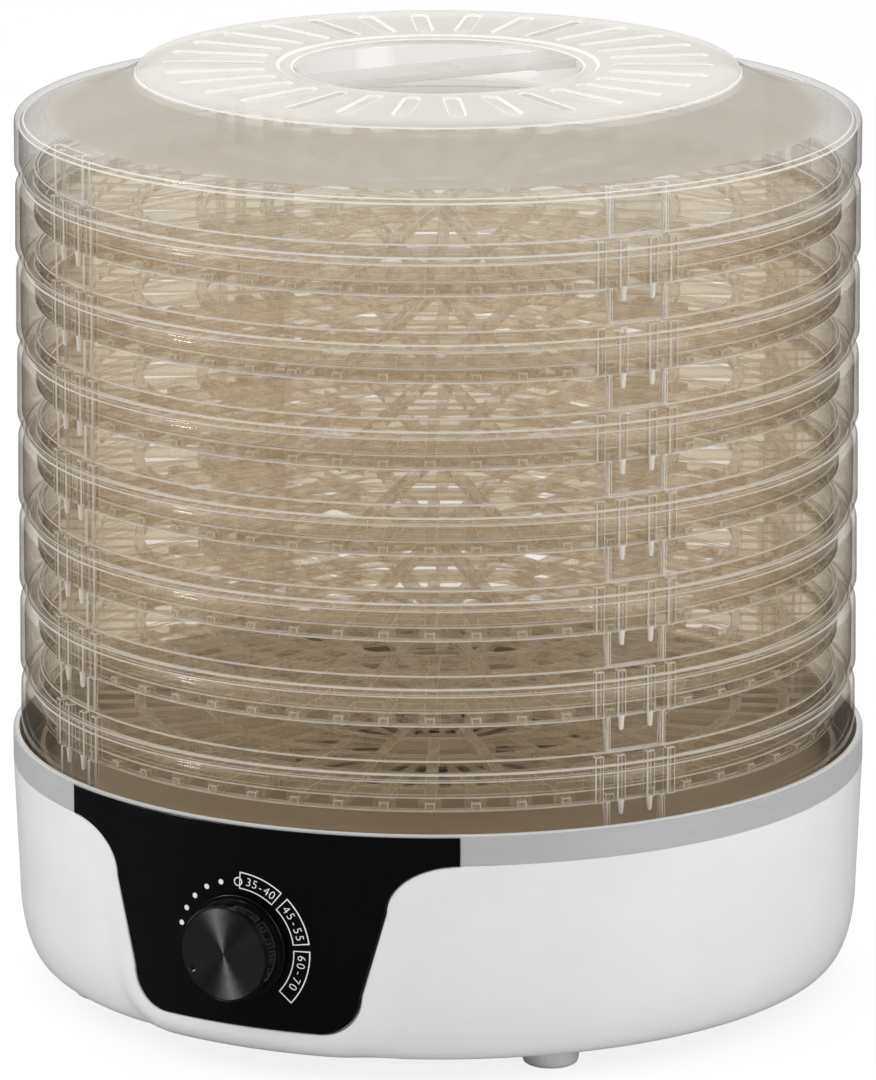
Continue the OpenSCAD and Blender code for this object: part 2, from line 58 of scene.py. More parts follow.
class Nodes:
    """A material's node tree with short calls for the nodes used here."""

    def __init__(self, name):
        self.material = bpy.data.materials.new(name)
        self.material.use_nodes = True
        self.tree = self.material.node_tree
        self.tree.nodes.clear()
        self.output = self.add("ShaderNodeOutputMaterial")

    def add(self, kind, **settings):
        node = self.tree.nodes.new(kind)
        for key, value in settings.items():
            setattr(node, key, value)
        return node

    def link(self, a, b):
        self.tree.links.new(a, b)

    def position(self):
        """Object coordinates, which are the frame's own coordinates in metres."""
        return self.add("ShaderNodeTexCoord").outputs["Object"]

    def stretched(self, scale):
        mapping = self.add("ShaderNodeMapping")
        mapping.inputs["Scale"].default_value = scale
        self.link(self.position(), mapping.inputs["Vector"])
        return mapping.outputs["Vector"]

    def noise(self, scale, detail=3.0, vector=None, roughness=0.5):
        node = self.add("ShaderNodeTexNoise")
        node.inputs["Scale"].default_value = scale
        node.inputs["Detail"].default_value = detail
        node.inputs["Roughness"].default_value = roughness
        self.link(vector or self.position(), node.inputs["Vector"])
        return node.outputs["Fac"]

    def spread(self, value, low, high, start=0.3, end=0.7):
        """Maps value from start..end to low..high."""
        node = self.add("ShaderNodeMapRange")
        node.inputs["From Min"].default_value = start
        node.inputs["From Max"].default_value = end
        node.inputs["To Min"].default_value = low
        node.inputs["To Max"].default_value = high
        self.link(value, node.inputs["Value"])
        return node.outputs["Result"]

    def math(self, operation, *values):
        node = self.add("ShaderNodeMath", operation=operation)
        for socket, value in zip(node.inputs, values):
            if isinstance(value, (int, float)):
                socket.default_value = value
            else:
                self.link(value, socket)
        return node.outputs[0]

    def blend(self, factor, a, b):
        """A colour between a and b."""
        node = self.add("ShaderNodeMix", data_type="RGBA")
        self.link(factor, node.inputs["Factor"])
        for socket, colour in ((node.inputs[6], a), (node.inputs[7], b)):
            if isinstance(colour, tuple):
                socket.default_value = (*colour, 1)
            else:
                self.link(colour, socket)
        return node.outputs[2]

    def bump(self, height, distance, strength=1.0):
        node = self.add("ShaderNodeBump")
        node.inputs["Strength"].default_value = strength
        node.inputs["Distance"].default_value = distance
        self.link(height, node.inputs["Height"])
        return node.outputs["Normal"]

    def principled(self, colour, roughness, **sockets):
        """A Principled shader; a socket's value is a number, a colour or another node's output."""
        node = self.add("ShaderNodeBsdfPrincipled")
        sockets = {"Base_Color": colour, "Roughness": roughness, **sockets}
        for key, value in sockets.items():
            socket = node.inputs[key.replace("_", " ")]
            if isinstance(value, bpy.types.NodeSocket):
                self.link(value, socket)
            elif isinstance(value, tuple):
                socket.default_value = (*value, 1) if len(socket.default_value) == 4 else value
            else:
                socket.default_value = value
        return node.outputs["BSDF"]

    def mix_shader(self, factor, a, b):
        node = self.add("ShaderNodeMixShader")
        if isinstance(factor, (int, float)):
            node.inputs[0].default_value = factor
        else:
            self.link(factor, node.inputs[0])
        self.link(a, node.inputs[1])
        self.link(b, node.inputs[2])
        return node.outputs[0]

    def finish(self, shader):
        self.link(shader, self.output.inputs["Surface"])
        return self.material


def moulded(name, colour, roughness, grain=0.00003, grain_scale=2600, **sockets):
    """Injection-moulded plastic: a fine spark-eroded grain and faint flow marks in the gloss."""
    n = Nodes(name)
    flow = n.noise(35, 2)
    darker = tuple(c * 0.965 for c in colour)
    tint = n.blend(n.spread(flow, 0, 1), darker, colour)
    gloss = n.spread(n.noise(220, 3), roughness * 0.9, roughness * 1.12)
    if grain:
        sockets["Normal"] = n.bump(n.noise(grain_scale, 2), grain)
    return n.finish(n.principled(tint, gloss, **sockets))


def metal(name, colour, roughness, scale=900, grain=0.00004, **sockets):
    """Sheet or drawn metal with light mottling."""
    n = Nodes(name)
    darker = tuple(c * 0.86 for c in colour)
    tint = n.blend(n.spread(n.noise(scale * 0.2, 3), 0, 1), darker, colour)
    gloss = n.spread(n.noise(scale * 0.4, 3), roughness * 0.8, roughness * 1.25)
    normal = n.bump(n.noise(scale, 3), grain)
    return n.finish(n.principled(tint, gloss, Normal=normal, Metallic=1.0, **sockets))


def brushed_ring(name):
    """Silver foil brushed along the ring: long fine lines that run round the axis."""
    n = Nodes(name)
    lines = n.noise(1.0, 4, n.stretched((18, 18, 9000)), 0.6)
    tint = n.blend(n.spread(lines, 0, 1), (0.46, 0.46, 0.465), (0.58, 0.58, 0.585))
    gloss = n.spread(lines, 0.30, 0.44)
    tangent = n.add("ShaderNodeTangent", direction_type="RADIAL", axis="Z").outputs[0]
    normal = n.bump(lines, 0.00002)
    return n.finish(n.principled(
        tint, gloss, Metallic=0.3, Anisotropic=0.6, Anisotropic_Rotation=0.25, Tangent=tangent,
        Normal=normal))


def clear_plastic(name, tint, edge_tint, haze, milk, satin_zones=()):
    """Clear moulding as thin tinted walls: it passes more light face on than along the wall.

    tint and edge_tint are what one face passes, face on and along the wall. haze is the share of
    milk, a faint scattering colour. A satin zone is (inner radius, outer radius, lowest height,
    share of milk, milk), in metres.
    """
    n = Nodes(name)
    facing = n.add("ShaderNodeLayerWeight")
    facing.inputs["Blend"].default_value = 0.5
    along = facing.outputs["Facing"]
    square = n.math("MULTIPLY", along, along)
    through = n.add("ShaderNodeBsdfTransparent")
    n.link(n.blend(square, tint, edge_tint), through.inputs["Color"])
    gloss = n.add("ShaderNodeBsdfGlossy")
    n.link(n.spread(n.noise(160, 0), 0.025, 0.06), gloss.inputs["Roughness"])
    mirror = n.math("MULTIPLY_ADD", n.math("MULTIPLY", square, square), 0.6, 0.03)
    clear = n.mix_shader(mirror, through.outputs[0], gloss.outputs[0])
    share = haze
    if satin_zones:
        place = n.add("ShaderNodeSeparateXYZ")
        n.link(n.position(), place.inputs[0])
        x, y, z = place.outputs
        radius = n.math("SQRT", n.math("ADD", n.math("MULTIPLY", x, x), n.math("MULTIPLY", y, y)))
        for inner, outer, low, most, zone_milk in satin_zones:
            zone = n.math("MULTIPLY", n.spread(radius, 0, most, inner, inner + 0.0004),
                          n.spread(radius, 1, 0, outer - 0.0004, outer))
            zone = n.math("MULTIPLY", zone, n.spread(z, 0, 1, low, low + 0.0004))
            share = n.math("MAXIMUM", share, zone)
            milk = n.blend(n.spread(zone, 0, 1, 0, 0.01), milk, zone_milk)
    satin = n.add("ShaderNodeBsdfDiffuse")
    lit_through = n.add("ShaderNodeBsdfTranslucent")
    for scatter in (satin, lit_through):
        if isinstance(milk, tuple):
            scatter.inputs["Color"].default_value = (*milk, 1)
        else:
            n.link(milk, scatter.inputs["Color"])
    body = n.mix_shader(0.45, satin.outputs[0], lit_through.outputs[0])
    return n.finish(n.mix_shader(share, clear, body))


def spun_metal(name, colour, centre_z):
    """Black anodised face turned on a lathe: fine rings round the dial's axis."""
    n = Nodes(name)
    place = n.add("ShaderNodeSeparateXYZ")
    n.link(n.position(), place.inputs[0])
    x, _, z = place.outputs
    up = n.math("SUBTRACT", z, centre_z)
    radius = n.math("SQRT", n.math("ADD", n.math("MULTIPLY", x, x), n.math("MULTIPLY", up, up)))
    rings = n.math("SINE", n.math("MULTIPLY", radius, 24000.0))
    tangent = n.add("ShaderNodeTangent", direction_type="RADIAL", axis="Y").outputs[0]
    mottle = n.noise(500, 2)
    tint = n.blend(n.spread(mottle, 0, 1), tuple(c * 0.85 for c in colour), colour)
    return n.finish(n.principled(
        tint, n.spread(mottle, 0.44, 0.52), Metallic=1.0, Anisotropic=0.96,
        Anisotropic_Rotation=0.25, Tangent=tangent,
        Normal=n.bump(rings, 0.000003)))


LID_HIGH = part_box("lid")[1]
clear_tray = clear_plastic("clear_warm_plastic", (0.984, 0.977, 0.965), (0.90, 0.86, 0.80),
                           0.008, (0.92, 0.84, 0.74))
# painted highlight: near-white milk on the bevelled edges stands in for the bright lines that light and
# refraction draw along clear edges
painted_edge_highlight = clear_plastic("clear_painted_edge_highlight", (0.96, 0.94, 0.915), (0.93, 0.89, 0.84),
                           0.88, (1.0, 0.998, 0.985))
clear_grille = clear_plastic("clear_grille_plastic", (0.945, 0.916, 0.865), (0.84, 0.77, 0.68),
                             0.2, (1.0, 0.93, 0.79))
# painted highlight: cream milk on the grille's bevelled edges stands in for the bright lines that light
# draws along them
painted_grille_highlight = clear_plastic("clear_grille_painted_highlight", (0.96, 0.935, 0.895), (0.90, 0.85, 0.78),
                            0.5, (1.0, 0.97, 0.90))
clear_post = clear_plastic("clear_post_plastic", (0.92, 0.90, 0.87), (0.84, 0.79, 0.73),
                           0.06, (0.9, 0.86, 0.8))
TRAY_PLASTICS = [clear_tray, painted_edge_highlight, clear_grille, painted_grille_highlight, clear_post]
# the edge places give bevelled edges a painted highlight
PAINTED_EDGE_HIGHLIGHT, GRILLE, PAINTED_GRILLE_HIGHLIGHT, POST = 1, 2, 3, 4      # places in that list
# its satin zones are the slope and the flat vent ring
clear_lid = clear_plastic(
    "clear_lid_plastic", (0.98, 0.977, 0.97), (0.93, 0.915, 0.895), 0.03, (0.88, 0.87, 0.84),
    satin_zones=((0.1128, 0.1458, LID_HIGH.z - 0.0185, 0.62, (0.56, 0.53, 0.48)),
                 (0.04, 0.1129, LID_HIGH.z - 0.003, 0.5, (0.86, 0.855, 0.84))))
clear_grip = clear_plastic("clear_grip_plastic", (0.95, 0.95, 0.945), (0.88, 0.87, 0.86),
                           0.3, (0.88, 0.87, 0.85))
white = moulded("white_plastic", (0.69, 0.69, 0.69), 0.34, grain=0, Coat_Weight=0.2,
                Coat_Roughness=0.15)
black_panel = moulded("gloss_black", (0.0025, 0.0025, 0.003), 0.1, grain=0.000004, IOR=1.4)
black_side = moulded("knob_black", (0.003, 0.003, 0.0035), 0.16, grain=0.000004, IOR=1.45)
black_insert = spun_metal("knob_face_metal", (0.34, 0.34, 0.344),
                          (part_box("knob")[0].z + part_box("knob")[1].z) / 2)
# painted shade: dark warm brown stands in for the shadow and warm reflected light under the lowest tray
deck_painted_shade = moulded("deck_painted_shade", (0.36, 0.30, 0.23), 0.45)
print_white = moulded("print_white", (0.78, 0.78, 0.77), 0.55)
black_rubber = moulded("black_pvc", (0.02, 0.02, 0.021), 0.5)
foot_white = moulded("foot_plastic", (0.72, 0.72, 0.71), 0.45)
ring_metal = brushed_ring("brushed_aluminium")
galvanised = metal("galvanised_steel", (0.62, 0.63, 0.64), 0.38, scale=260)
screw_steel = metal("zinc_screw", (0.66, 0.66, 0.68), 0.28)
lamination = metal("core_lamination", (0.22, 0.22, 0.235), 0.5)
copper = metal("enamelled_copper", (0.72, 0.32, 0.14), 0.3, scale=2400)
nichrome = metal("nichrome", (0.42, 0.39, 0.36), 0.4, scale=2000)
mica = moulded("mica_board", (0.62, 0.56, 0.42), 0.55)
fan_grey = moulded("fan_grey", (0.09, 0.095, 0.105), 0.4)
nylon = moulded("natural_nylon", (0.72, 0.70, 0.62), 0.45)
wire_blue = moulded("wire_insulation", (0.05, 0.09, 0.32), 0.35)

MATERIALS = {
    "base_housing": white, "top_deck": deck_painted_shade, "bottom_cover": white, "trim_ring": ring_metal,
    "control_panel": black_panel, "knob": black_side, "knob_insert": black_insert,
    "thermostat": nylon, "thermostat_shaft": screw_steel, "thermostat_nut": screw_steel,
    "air_duct": galvanised, "heater_frame": mica, "heater_coil": nichrome,
    "thermal_cutout": black_rubber, "fan_impeller": fan_grey, "fan_spindle": screw_steel,
    "motor_core": lamination, "motor_coil": copper, "motor_frame": galvanised,
    "terminal_block": nylon, "cord_inlet": black_rubber, "wiring": wire_blue,
    "feet": foot_white, "cover_screws": screw_steel, "deck_screws": screw_steel,
    "motor_screws": screw_steel, "lid": clear_lid, "lid_handle": clear_grip,
    **{name: clear_tray for name in TRAYS},
}


def dress(obj, *materials):
    """Gives a mesh these materials; clearing is left out on a new mesh, as it resets every face."""
    slots = obj.data.materials
    if slots:
        slots.clear()
    for material in materials:
        slots.append(material)


for node_name, finish_material in MATERIALS.items():
    dress(nodes[node_name], finish_material)


# ---------------------------------------------------------------- mesh building


def turned(points, angle):
    """Points turned round z by an angle in degrees."""
    turn = Matrix.Rotation(math.radians(angle), 3, "Z")
    return [turn @ Vector(p) for p in points]


def object_from(bm, name, materials, sharp=35):
    """Closes the build: welds, turns faces outwards, smooths all but sharp edges."""
    bmesh.ops.remove_doubles(bm, verts=bm.verts, dist=0.000002)
    bmesh.ops.dissolve_degenerate(bm, edges=bm.edges, dist=0.000001)
    bmesh.ops.recalc_face_normals(bm, faces=bm.faces)
    mesh = bpy.data.meshes.new(name)
    bm.to_mesh(mesh)
    bm.free()
    mesh.polygons.foreach_set("use_smooth", [True] * len(mesh.polygons))
    mesh.set_sharp_from_angle(angle=math.radians(sharp))
    obj = bpy.data.objects.new(name, mesh)
    scene.collection.objects.link(obj)
    dress(obj, *materials)
    return obj


def add_lathe(bm, outline, segments=256, closed=True):
    """Spins an outline of (radius, height) points round z."""
    rings = []
    for i in range(segments):
        t = 2 * math.pi * i / segments
        rings.append([bm.verts.new((r * math.cos(t), r * math.sin(t), z)) for r, z in outline])
    for i in range(segments):
        here, there = rings[i], rings[(i + 1) % segments]
        for k in range(len(outline) if closed else len(outline) - 1):
            j = (k + 1) % len(outline)
            bm.faces.new((here[k], there[k], there[j], here[j]))


def add_block(bm, low, high, angle=0.0, material=0):
    """A box between two corners, turned round z by an angle in degrees."""
    corners = [(x, y, z) for x in (low[0], high[0]) for y in (low[1], high[1])
               for z in (low[2], high[2])]
    v = [bm.verts.new(p) for p in turned(corners, angle)]
    for face in ((0, 1, 3, 2), (4, 6, 7, 5), (0, 4, 5, 1), (2, 3, 7, 6), (0, 2, 6, 4), (1, 5, 7, 3)):
        bm.faces.new([v[k] for k in face]).material_index = material


def soften(obj, width, material=0, segments=2, angle=40):
    """Rounds every sharp edge and makes the result the object's own mesh."""
    bevel = obj.modifiers.new("soften", "BEVEL")
    bevel.width = width
    bevel.segments = segments
    bevel.limit_method = "ANGLE"
    bevel.angle_limit = math.radians(angle)
    bevel.material = material
    bevel.use_clamp_overlap = True
    bevel.harden_normals = False
    graph = bpy.context.evaluated_depsgraph_get()
    mesh = bpy.data.meshes.new_from_object(obj.evaluated_get(graph))
    obj.modifiers.clear()
    obj.data = mesh
    mesh.set_sharp_from_angle(angle=math.radians(50))
    return obj


def arc(centre, radii, start, end, steps):
    """Points of an elliptical arc, angles in degrees."""
    return [(centre[0] + radii[0] * math.cos(math.radians(start + (end - start) * i / steps)),
             centre[1] + radii[1] * math.sin(math.radians(start + (end - start) * i / steps)))
            for i in range(steps + 1)]


# ----------------------------------------------------------------- base and panel

BASE_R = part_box("base_housing")[1].x
PANEL_LOW, PANEL_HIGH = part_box("control_panel")
PANEL_R = -PANEL_LOW.y
RING_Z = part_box("trim_ring")[0].z - 0.05 * MM
RING_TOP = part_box("base_housing")[1].z
UNDER_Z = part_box("base_housing")[0].z
COVER_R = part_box("bottom_cover")[1].x - 3 * MM
KNOB_Z = (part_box("knob")[0].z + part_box("knob")[1].z) / 2

STRIP_X = PANEL_HIGH.x
CORNER_R = 15 * MM
CORNER_X = 31 * MM
FLARE_Z = 66 * MM
FLARE_W = 24.4 * MM
POCKET_R = BASE_R - 1.6 * MM
RAISED_R = BASE_R + 0.25 * MM
WALL_R = BASE_R - 2 * MM
UNDER_R = BASE_R - 11.5 * MM
CORNER_Z = UNDER_Z + 28 * MM
CORNER_LENGTH = 30 * MM
FRONT = 50                      # half angle of the fine front of the housing, in degrees


def panel_side(grow, top):
    """One side of the panel's outline, grown outwards, as (x, z) points from below to the top."""
    points = arc((CORNER_X, PANEL_LOW.z + CORNER_R), (CORNER_R + grow, CORNER_R + grow), -90, 0, 12)
    points += arc((STRIP_X, FLARE_Z), (FLARE_W - grow, RING_Z - FLARE_Z - grow), 180, 90, 16)
    points.append((STRIP_X + grow, RING_Z - grow))
    if top > points[-1][1] + 1e-7:
        points.append((STRIP_X + grow, top))
    return points


def spaced(start, end, step=0.004):
    """Points between two others, not counting them."""
    count = round(math.dist(start, end) / step)
    return [(start[0] + (end[0] - start[0]) * k / count, start[1] + (end[1] - start[1]) * k / count)
            for k in range(1, count)]


def panel_loop(grow, top):
    """The whole outline but for its top edge, from the upper left down and round to the right."""
    right = panel_side(grow, top)
    left = [(-x, z) for x, z in reversed(right)]
    return left + spaced(left[-1], right[0]) + right


def distance_outside(x, z, loop):
    """Distance from a point to the panel's outline, negative inside it."""
    nearest, inside = 1e9, False
    for (x0, z0), (x1, z1) in zip(loop, loop[1:] + loop[:1]):
        dx, dz = x1 - x0, z1 - z0
        span = dx * dx + dz * dz
        t = 0 if span == 0 else max(0, min(1, ((x - x0) * dx + (z - z0) * dz) / span))
        nearest = min(nearest, math.hypot(x - x0 - t * dx, z - z0 - t * dz))
        if (z0 > z) != (z1 > z) and x < x0 + (z - z0) / (z1 - z0) * dx:
            inside = not inside
    return -nearest if inside else nearest


def wall_at(v):
    """(radius, height) of the housing's outside at v, a height that runs on round the corner."""
    if v >= CORNER_Z:
        rise = min(1, (v - CORNER_Z) / (RING_Z - CORNER_Z))
        return WALL_R + (BASE_R - WALL_R) * rise, v
    a = (CORNER_Z - v) / CORNER_LENGTH * math.pi / 2
    return (UNDER_R + (WALL_R - UNDER_R) * math.cos(a),
            CORNER_Z - (CORNER_Z - UNDER_Z) * math.sin(a))


def v_at(z):
    """The v of wall_at for a height."""
    if z >= CORNER_Z:
        return z
    return CORNER_Z - math.asin((CORNER_Z - z) / (CORNER_Z - UNDER_Z)) * CORNER_LENGTH * 2 / math.pi


def smooth(t):
    """An S-shaped step from 0 to 1."""
    t = max(0.0, min(1.0, t))
    return t * t * (3 - 2 * t)


def rounded(e, r):
    """How far a rounded edge of radius r falls below its face at e from the edge."""
    return 0 if e >= r else r - math.sqrt(max(0, r * r - (r - e) ** 2))


SEAM = 0.15 * MM                # gap between the panel and its pocket
EDGE = 0.7 * MM                 # rounding of the pocket's edge
BULGE = 15 * MM                 # how far the raised surround reaches


def housing_point(x, z, t, loop):
    """Point of the housing's outside at angle t from the front, for height z and frontal x."""
    radius = wall_at(v_at(z))[0]
    if abs(t) < math.radians(FRONT):
        away = distance_outside(x, z, loop)
        if away < SEAM - 1e-6:
            radius = POCKET_R
        else:
            raised = 1 - smooth((away - 2 * MM) / (BULGE - 2 * MM))
            radius += (RAISED_R - radius) * raised - rounded(away - SEAM, EDGE)
    return Vector((radius * math.sin(t), -radius * math.cos(t), z))


def carry(bm, edges, radius, height):
    """Extrudes a rim to another radius and height."""
    made = bmesh.ops.extrude_edge_only(bm, edges=edges)["geom"]
    for v in (g for g in made if isinstance(g, bmesh.types.BMVert)):
        flat = Vector((v.co.x, v.co.y)).normalized() * radius
        v.co = (flat.x, flat.y, height)
    return [g for g in made if isinstance(g, bmesh.types.BMEdge) and g.is_boundary]


def rim_at(bm, height):
    """The open edges at one height."""
    return [e for e in bm.edges if e.is_boundary
            and all(abs(v.co.z - height) < 0.00002 for v in e.verts)]


def make_housing():
    loop = panel_loop(0, PANEL_HIGH.z + 0.02)
    rows = [v_at(UNDER_Z) + (RING_Z - v_at(UNDER_Z)) * i / 30 for i in range(31)]
    bm = bmesh.new()
    # plain wall behind, in quads
    steps = 176
    start, turn = FRONT, 360 - 2 * FRONT
    grid = []
    for i in range(steps + 1):
        t = math.radians(start + turn * i / steps)
        grid.append([bm.verts.new((r * math.sin(t), -r * math.cos(t), z)) for r, z in map(wall_at, rows)])
    for a, b in zip(grid, grid[1:]):
        for k in range(30):
            bm.faces.new((a[k], b[k], b[k + 1], a[k + 1]))
    # front: a grid that gives way to rings of points round the panel's pocket
    plane, places, edges = [], [], []

    def put(x, z, t):
        plane.append(Vector((t * BASE_R, v_at(z))))
        places.append((x, z, t))

    columns = 68
    for i in range(columns + 1):
        t = math.radians(-FRONT + 2 * FRONT * i / columns)
        for v in rows:
            radius, z = wall_at(v)
            x = radius * math.sin(t)
            away = distance_outside(x, z, loop)
            on_edge = i in (0, columns) or v in (rows[0], rows[-1])
            if on_edge or away > BULGE + 4 * MM or away < -2 * MM:
                put(x, z, t)
    offsets = [0, SEAM, SEAM + 0.06 * MM, SEAM + 0.18 * MM, SEAM + 0.36 * MM, SEAM + EDGE]
    offsets += [o * MM for o in (1.6, 3, 4.5, 6, 7.5, 9, 10.5, 12, 13.5, 15, 17)]
    for offset in offsets:
        ring = [(x, z) for x, z in panel_loop(offset, RING_Z) if z >= UNDER_Z + 0.5 * MM]
        first = len(plane)
        for x, z in ring:
            put(x, z, math.asin(x / wall_at(v_at(z))[0]))
        edges += [(first + k, first + k + 1) for k in range(len(ring) - 1)
                  if math.dist(ring[k], ring[k + 1]) < 60 * MM]
    flat, _, faces, origin, _, _ = geometry.delaunay_2d_cdt(plane, edges, [], 0, 1e-7)
    verts = []
    for k, point in enumerate(flat):
        if origin[k]:
            x, z, t = places[origin[k][0]]
        else:
            t = point.x / BASE_R
            radius, z = wall_at(point.y)
            x = radius * math.sin(t)
        verts.append(bm.verts.new(housing_point(x, z, t, loop)))
    for face in faces:
        bm.faces.new([verts[k] for k in face])
    bmesh.ops.remove_doubles(bm, verts=bm.verts, dist=0.000002)
    # up over the ring's seat, down inside, and back under
    rim = rim_at(bm, RING_Z)
    foot = rim_at(bm, UNDER_Z)
    for radius, z in ((BASE_R - 0.9 * MM, RING_Z), (BASE_R - 0.9 * MM, RING_TOP),
                      (BASE_R - 2.3 * MM, RING_TOP), (BASE_R - 2.3 * MM, RING_Z - 6 * MM),
                      (BASE_R - 5.6 * MM, RING_Z - 6 * MM), (BASE_R - 5.6 * MM, RING_Z - 9 * MM),
                      (WALL_R - 2.2 * MM, CORNER_Z + 20 * MM), (WALL_R - 2.2 * MM, CORNER_Z),
                      (WALL_R - 5 * MM, CORNER_Z - 17 * MM), (UNDER_R - 1 * MM, UNDER_Z + 2.2 * MM),
                      (COVER_R, UNDER_Z + 2.2 * MM)):
        rim = carry(bm, rim, radius, z)
    foot = carry(bm, foot, COVER_R, UNDER_Z)
    bmesh.ops.bridge_loops(bm, edges=rim + foot)
    housing = object_from(bm, "housing_shell", [white], 40)
    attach(housing, "base")
    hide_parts("base_housing")


def on_panel(x, z, lift=0.0):
    """The point of the panel's curved front at (x, z), lifted off it."""
    radius = PANEL_R + lift
    return Vector((x, -math.sqrt(radius * radius - x * x), z))


def make_panel():
    loop = panel_loop(0, PANEL_HIGH.z)
    edge = 0.5 * MM
    points, edges = [], []
    for depth in (0, 0.03, 0.1, 0.22, 0.36, 0.5):
        ring = panel_loop(-depth * MM, PANEL_HIGH.z - depth * MM)
        ring += spaced(ring[-1], ring[0])
        first, count = len(points), len(ring)
        points += [Vector(p) for p in ring]
        edges += [(first + k, first + (k + 1) % count) for k in range(count)]
    step = 3.5 * MM
    for i in range(-24, 25):
        for k in range(1, 24):
            x, z = i * step, PANEL_LOW.z + k * step
            if distance_outside(x, z, loop) < -1.6 * MM:
                points.append(Vector((x, z)))
    flat, _, faces, _, _, _ = geometry.delaunay_2d_cdt(points, edges, [], 0, 1e-7)
    bm = bmesh.new()
    verts = []
    for x, z in flat:
        drop = rounded(max(0, -distance_outside(x, z, loop)), edge)
        verts.append(bm.verts.new(on_panel(x, z, -drop)))
    for face in faces:
        centre = sum((flat[k] for k in face), Vector((0, 0))) / 3
        if distance_outside(centre.x, centre.y, loop) < 0:
            bm.faces.new([verts[k] for k in face])
    loose = [v for v in bm.verts if not v.link_faces]
    bmesh.ops.delete(bm, geom=loose, context="VERTS")
    rim = [e for e in bm.edges if e.is_boundary]
    made = bmesh.ops.extrude_edge_only(bm, edges=rim)["geom"]
    for v in (g for g in made if isinstance(g, bmesh.types.BMVert)):
        v.co = on_panel(v.co.x, v.co.z, -0.7 * MM if v.co.z > RING_Z else -2 * MM)
    panel = object_from(bm, "panel_face", [black_panel], 45)
    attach(panel, "base")
    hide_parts("control_panel")


# ------------------------------------------------------------------ dial and print

PRINT_IN = 22 * MM              # inner and outer radius of the framed ranges
PRINT_OUT = 28.4 * MM
LINE = 0.42 * MM                # width of a printed line
# figures, start and end of the frame, middle of the figures and their spacing, in degrees
RANGES = (("35-40", 88, 51.4, 68, 5.7), ("45-55", 46, 7.7, 26.8, 6.5), ("60-70", 2.6, -42, -17, 6.6))
DOTS = (106, 121.5, 137, 152, 167)      # angles in degrees


def ring_point(radius, angle):
    """A point of the plane by radius and angle in degrees."""
    return (radius * math.cos(math.radians(angle)), radius * math.sin(math.radians(angle)))


def add_strip(bm, left, right, closed=False):
    """A flat ribbon between two rows of points in the plane."""
    a = [bm.verts.new((x, z, 0)) for x, z in left]
    b = [bm.verts.new((x, z, 0)) for x, z in right]
    for k in range(len(a) if closed else len(a) - 1):
        j = (k + 1) % len(a)
        bm.faces.new((a[k], a[j], b[j], b[k]))


def add_frame(bm, start, end):
    """Outline of a range: one closed ribbon along its four sides."""
    steps = 24
    turn = math.degrees(LINE / PRINT_OUT)

    def side(inner, outer, trim):
        angles = [start - trim + (end + trim - start + trim) * k / steps for k in range(steps + 1)]
        return [ring_point(outer, a) for a in angles] + [ring_point(inner, a) for a in reversed(angles)]

    add_strip(bm, side(PRINT_IN, PRINT_OUT, 0), side(PRINT_IN + LINE, PRINT_OUT - LINE, turn), True)


def add_disc(bm, centre, radius, hole=0.0):
    outer = arc(centre, (radius, radius), 0, 345, 23)
    inner = arc(centre, (hole, hole), 0, 345, 23)
    add_strip(bm, outer, inner, True)


def add_figures(bm, text, centre, advance):
    """Figures set along the dial's circle, reading clockwise, tops outwards."""
    radius = 23.7 * MM
    for k, figure in enumerate(text):
        angle = math.radians(centre + advance * ((len(text) - 1) / 2 - k))
        curve = bpy.data.curves.new("figure", "FONT")
        curve.body = figure
        curve.size = 4.5 * MM
        curve.offset = -0.05 * MM
        curve.align_x = "CENTER"
        source = bpy.data.objects.new("figure", curve)
        scene.collection.objects.link(source)
        bpy.context.view_layer.update()
        shape = source.evaluated_get(bpy.context.evaluated_depsgraph_get()).to_mesh()
        out = Vector((math.cos(angle), math.sin(angle)))
        right = Vector((math.sin(angle), -math.cos(angle)))
        verts = []
        for v in shape.vertices:
            place = out * (radius + v.co.y) + right * v.co.x
            verts.append(bm.verts.new((place.x, place.y, 0)))
        for face in shape.polygons:
            bm.faces.new([verts[corner] for corner in face.vertices])
        bpy.data.objects.remove(source)
        bpy.data.curves.remove(curve)


def make_print():
    bm = bmesh.new()
    for text, start, end, centre, advance in RANGES:
        add_frame(bm, start, end)
        add_figures(bm, text, centre, advance)
    for angle in DOTS:
        add_disc(bm, ring_point(24.5 * MM, angle), 1.0 * MM)
    add_disc(bm, ring_point(24.6 * MM, 89.2), 1.7 * MM, 1.25 * MM)
    bmesh.ops.remove_doubles(bm, verts=bm.verts, dist=0.000002)
    made = bmesh.ops.extrude_face_region(bm, geom=list(bm.faces))["geom"]
    top = {g for g in made if isinstance(g, bmesh.types.BMVert)}
    for v in bm.verts:
        x, z = v.co.x, v.co.y
        v.co = on_panel(x, KNOB_Z + z, 0.05 * MM if v in top else -0.1 * MM)
    dial_print = object_from(bm, "dial_print", [print_white], 30)
    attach(dial_print, "base")


def towards_front(bm):
    """Turns what was built round z so that it points along -Y at the dial's height."""
    for v in bm.verts:
        v.co = (v.co.x, -v.co.z, KNOB_Z + v.co.y)


